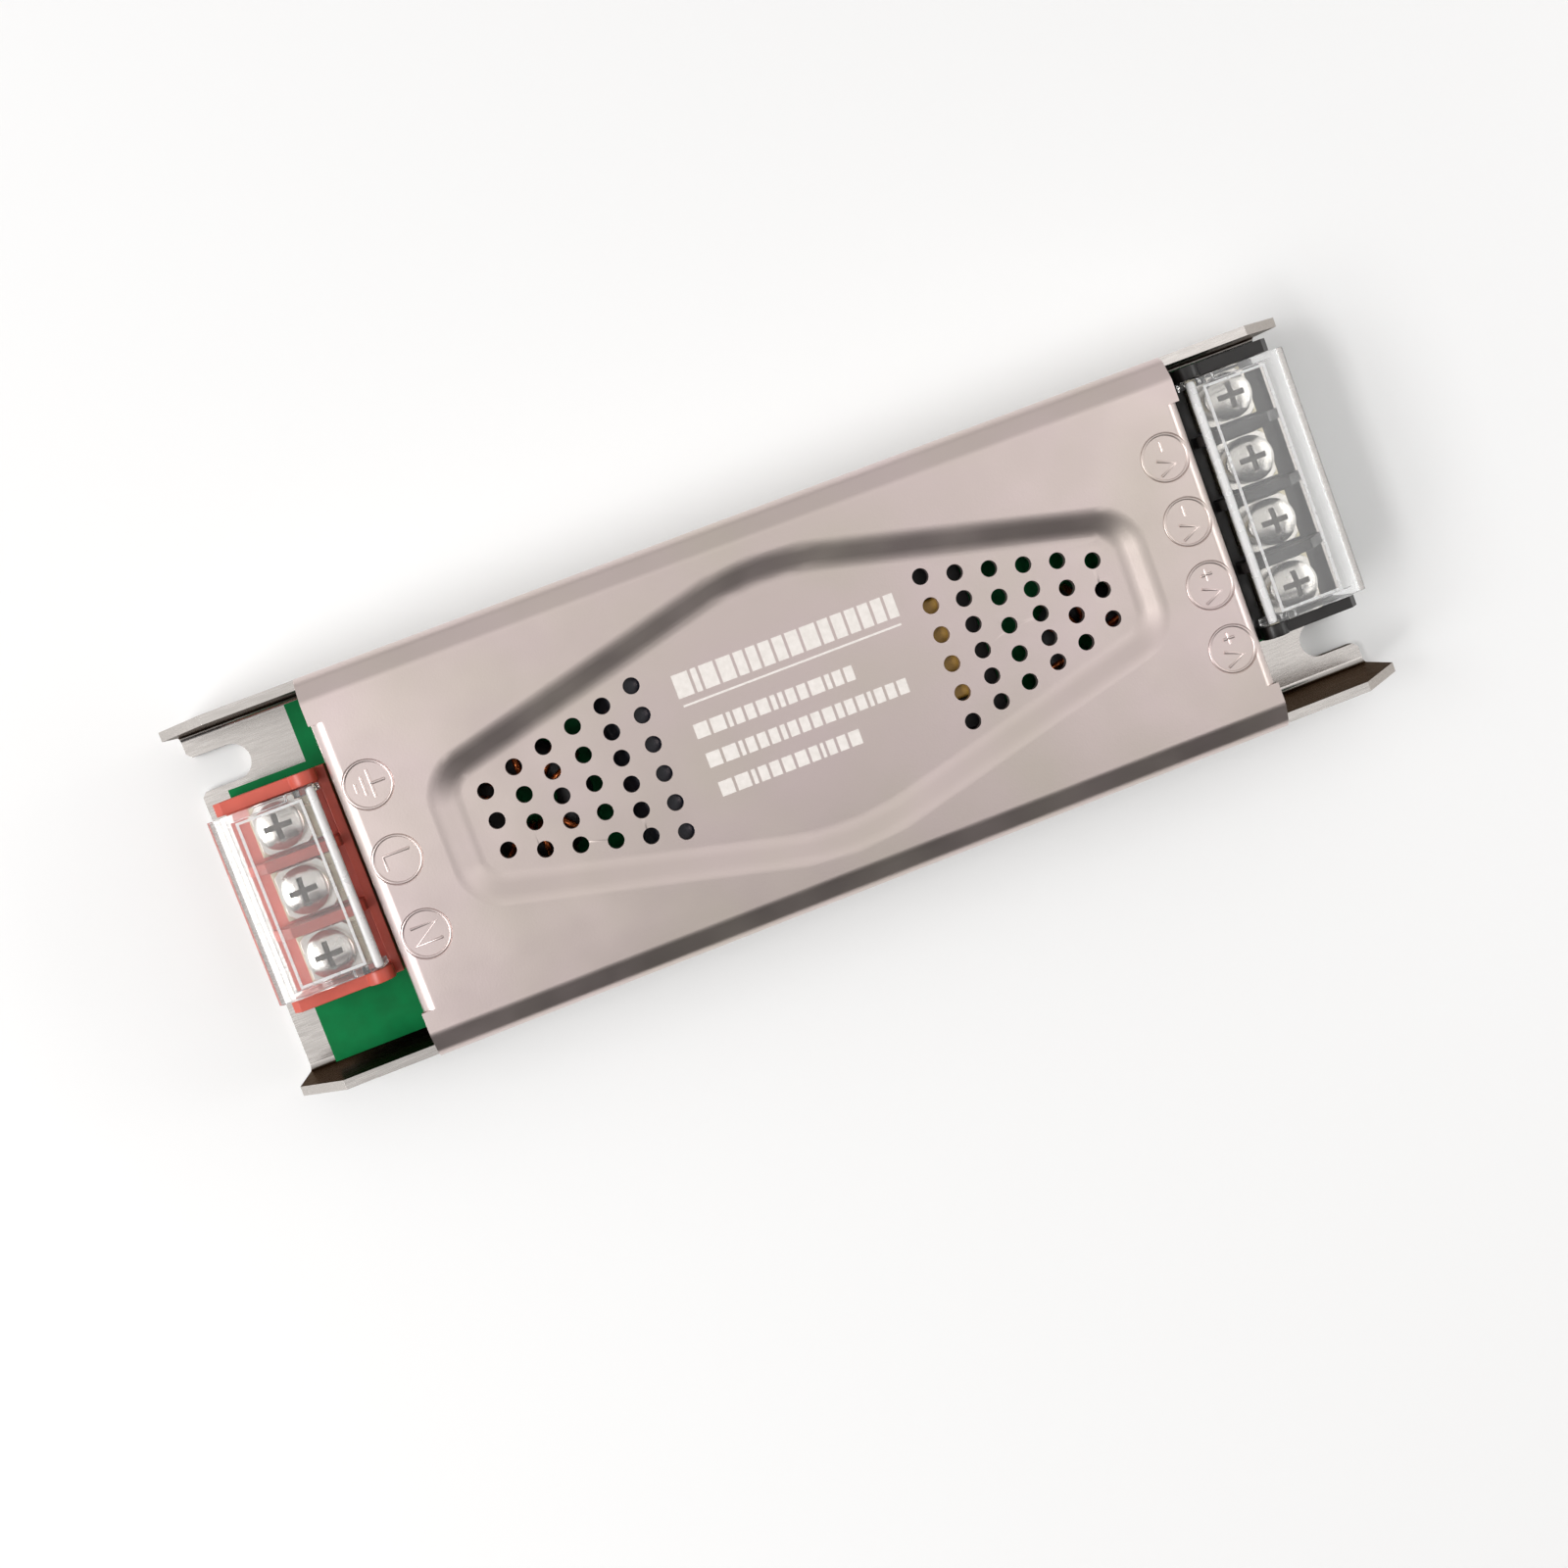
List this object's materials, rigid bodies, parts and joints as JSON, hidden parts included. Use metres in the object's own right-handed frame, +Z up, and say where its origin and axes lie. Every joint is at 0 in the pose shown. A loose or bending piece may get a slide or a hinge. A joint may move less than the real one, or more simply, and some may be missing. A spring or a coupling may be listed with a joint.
{
  "type": "LED power supply",
  "caption": "Slim metal-cased power supply for LED lighting: folded tray, vented cover with a sunk panel, and screw terminals under clear flip covers at each end.",
  "frame": {"origin": "under the middle of the base tray, on its lower face", "axes": "+X along the case towards the output terminals, +Z up out of the cover"},
  "size_m": [0.1464, 0.0474, 0.0187],
  "materials": {
    "tray_metal": "brushed sheet",
    "cover_metal": "fine satin, warm silver",
    "screw_steel": "plated",
    "film_plastic": "translucent film",
    "board_green": "solder mask",
    "red_plastic": "moulded",
    "black_plastic": "moulded",
    "contact_brass": "tinned",
    "clear_plastic": "clear moulding",
    "clamp_nickel": "bright nickel",
    "fuse_brown": "moulded",
    "disc_blue": "coated",
    "disc_green": "coated",
    "film_yellow": "moulded box",
    "ferrite_dark": "ferrite",
    "coil_copper": "enamelled wire",
    "moulding_black": "moulded",
    "can_sleeve": "sleeved can",
    "tape_yellow": "tape"
  },
  "bodies": {
    "case": {"base_tray": "tray_metal", "top_cover": "cover_metal", "cover_screws": "screw_steel", "insulation_sheet": "film_plastic", "board_posts": "screw_steel", "circuit_board": "board_green", "board_screws": "screw_steel", "input_block": "red_plastic", "output_block": "black_plastic", "input_contacts": "contact_brass", "output_contacts": "contact_brass", "fuse": "fuse_brown", "varistor": "disc_blue", "thermistor": "disc_green", "film_capacitor": "film_yellow", "filter_core": "ferrite_dark", "filter_coil": "coil_copper", "bridge_rectifier": "moulding_black", "bulk_capacitors": "can_sleeve", "switching_transistor": "moulding_black", "transformer_core": "ferrite_dark", "transformer_bobbin": "moulding_black", "transformer_winding": "tape_yellow", "safety_capacitor": "disc_blue", "optocoupler": "moulding_black", "control_chip": "moulding_black", "output_rectifier": "moulding_black", "choke_core": "ferrite_dark", "choke_coil": "coil_copper", "output_capacitors": "can_sleeve"},
    "input_cover": {"input_cover": "clear_plastic"},
    "output_cover": {"output_cover": "clear_plastic"},
    "input_clamp_1": {"input_clamp_1": "clamp_nickel"},
    "input_screw_1": {"input_screw_1": "clamp_nickel"},
    "input_clamp_2": {"input_clamp_2": "clamp_nickel"},
    "input_screw_2": {"input_screw_2": "clamp_nickel"},
    "input_clamp_3": {"input_clamp_3": "clamp_nickel"},
    "input_screw_3": {"input_screw_3": "clamp_nickel"},
    "output_clamp_1": {"output_clamp_1": "clamp_nickel"},
    "output_screw_1": {"output_screw_1": "clamp_nickel"},
    "output_clamp_2": {"output_clamp_2": "clamp_nickel"},
    "output_screw_2": {"output_screw_2": "clamp_nickel"},
    "output_clamp_3": {"output_clamp_3": "clamp_nickel"},
    "output_screw_3": {"output_screw_3": "clamp_nickel"},
    "output_clamp_4": {"output_clamp_4": "clamp_nickel"},
    "output_screw_4": {"output_screw_4": "clamp_nickel"}
  },
  "joints": [
    {"name": "input_cover_hinge", "type": "hinge", "parent": "case", "child": "input_cover", "pos_m": [-0.0583, 0, 0.0136], "axis": [0, 1, 0], "range_deg": [0, 95]},
    {"name": "output_cover_hinge", "type": "hinge", "parent": "case", "child": "output_cover", "pos_m": [0.0583, 0.0041, 0.0136], "axis": [0, -1, 0], "range_deg": [0, 95]},
    {"name": "input_clamp_1_lift", "type": "slide", "parent": "case", "child": "input_clamp_1", "axis": [0, 0, 1], "range_m": [0, 0.0022]},
    {"name": "input_screw_1_turn", "type": "hinge", "parent": "input_clamp_1", "child": "input_screw_1", "pos_m": [-0.0634, -0.00825, 0.012], "axis": [0, 0, 1], "range_deg": [0, 1585]},
    {"name": "input_clamp_2_lift", "type": "slide", "parent": "case", "child": "input_clamp_2", "axis": [0, 0, 1], "range_m": [0, 0.0022]},
    {"name": "input_screw_2_turn", "type": "hinge", "parent": "input_clamp_2", "child": "input_screw_2", "pos_m": [-0.0634, 0, 0.012], "axis": [0, 0, 1], "range_deg": [0, 1585]},
    {"name": "input_clamp_3_lift", "type": "slide", "parent": "case", "child": "input_clamp_3", "axis": [0, 0, 1], "range_m": [0, 0.0022]},
    {"name": "input_screw_3_turn", "type": "hinge", "parent": "input_clamp_3", "child": "input_screw_3", "pos_m": [-0.0634, 0.00825, 0.012], "axis": [0, 0, 1], "range_deg": [0, 1585]},
    {"name": "output_clamp_1_lift", "type": "slide", "parent": "case", "child": "output_clamp_1", "axis": [0, 0, 1], "range_m": [0, 0.0022]},
    {"name": "output_screw_1_turn", "type": "hinge", "parent": "output_clamp_1", "child": "output_screw_1", "pos_m": [0.0634, 0.01648, 0.012], "axis": [0, 0, 1], "range_deg": [0, 1585]},
    {"name": "output_clamp_2_lift", "type": "slide", "parent": "case", "child": "output_clamp_2", "axis": [0, 0, 1], "range_m": [0, 0.0022]},
    {"name": "output_screw_2_turn", "type": "hinge", "parent": "output_clamp_2", "child": "output_screw_2", "pos_m": [0.0634, 0.00822, 0.012], "axis": [0, 0, 1], "range_deg": [0, 1585]},
    {"name": "output_clamp_3_lift", "type": "slide", "parent": "case", "child": "output_clamp_3", "axis": [0, 0, 1], "range_m": [0, 0.0022]},
    {"name": "output_screw_3_turn", "type": "hinge", "parent": "output_clamp_3", "child": "output_screw_3", "pos_m": [0.0634, -0.00003, 0.012], "axis": [0, 0, 1], "range_deg": [0, 1585]},
    {"name": "output_clamp_4_lift", "type": "slide", "parent": "case", "child": "output_clamp_4", "axis": [0, 0, 1], "range_m": [0, 0.0022]},
    {"name": "output_screw_4_turn", "type": "hinge", "parent": "output_clamp_4", "child": "output_screw_4", "pos_m": [0.0634, -0.00827, 0.012], "axis": [0, 0, 1], "range_deg": [0, 1585]}
  ],
  "couplings": [
    {"joint": "input_screw_1_turn", "follows": "input_clamp_1_lift", "rad_per_m": 12566},
    {"joint": "input_screw_2_turn", "follows": "input_clamp_2_lift", "rad_per_m": 12566},
    {"joint": "input_screw_3_turn", "follows": "input_clamp_3_lift", "rad_per_m": 12566},
    {"joint": "output_screw_1_turn", "follows": "output_clamp_1_lift", "rad_per_m": 12566},
    {"joint": "output_screw_2_turn", "follows": "output_clamp_2_lift", "rad_per_m": 12566},
    {"joint": "output_screw_3_turn", "follows": "output_clamp_3_lift", "rad_per_m": 12566},
    {"joint": "output_screw_4_turn", "follows": "output_clamp_4_lift", "rad_per_m": 12566}
  ]
}
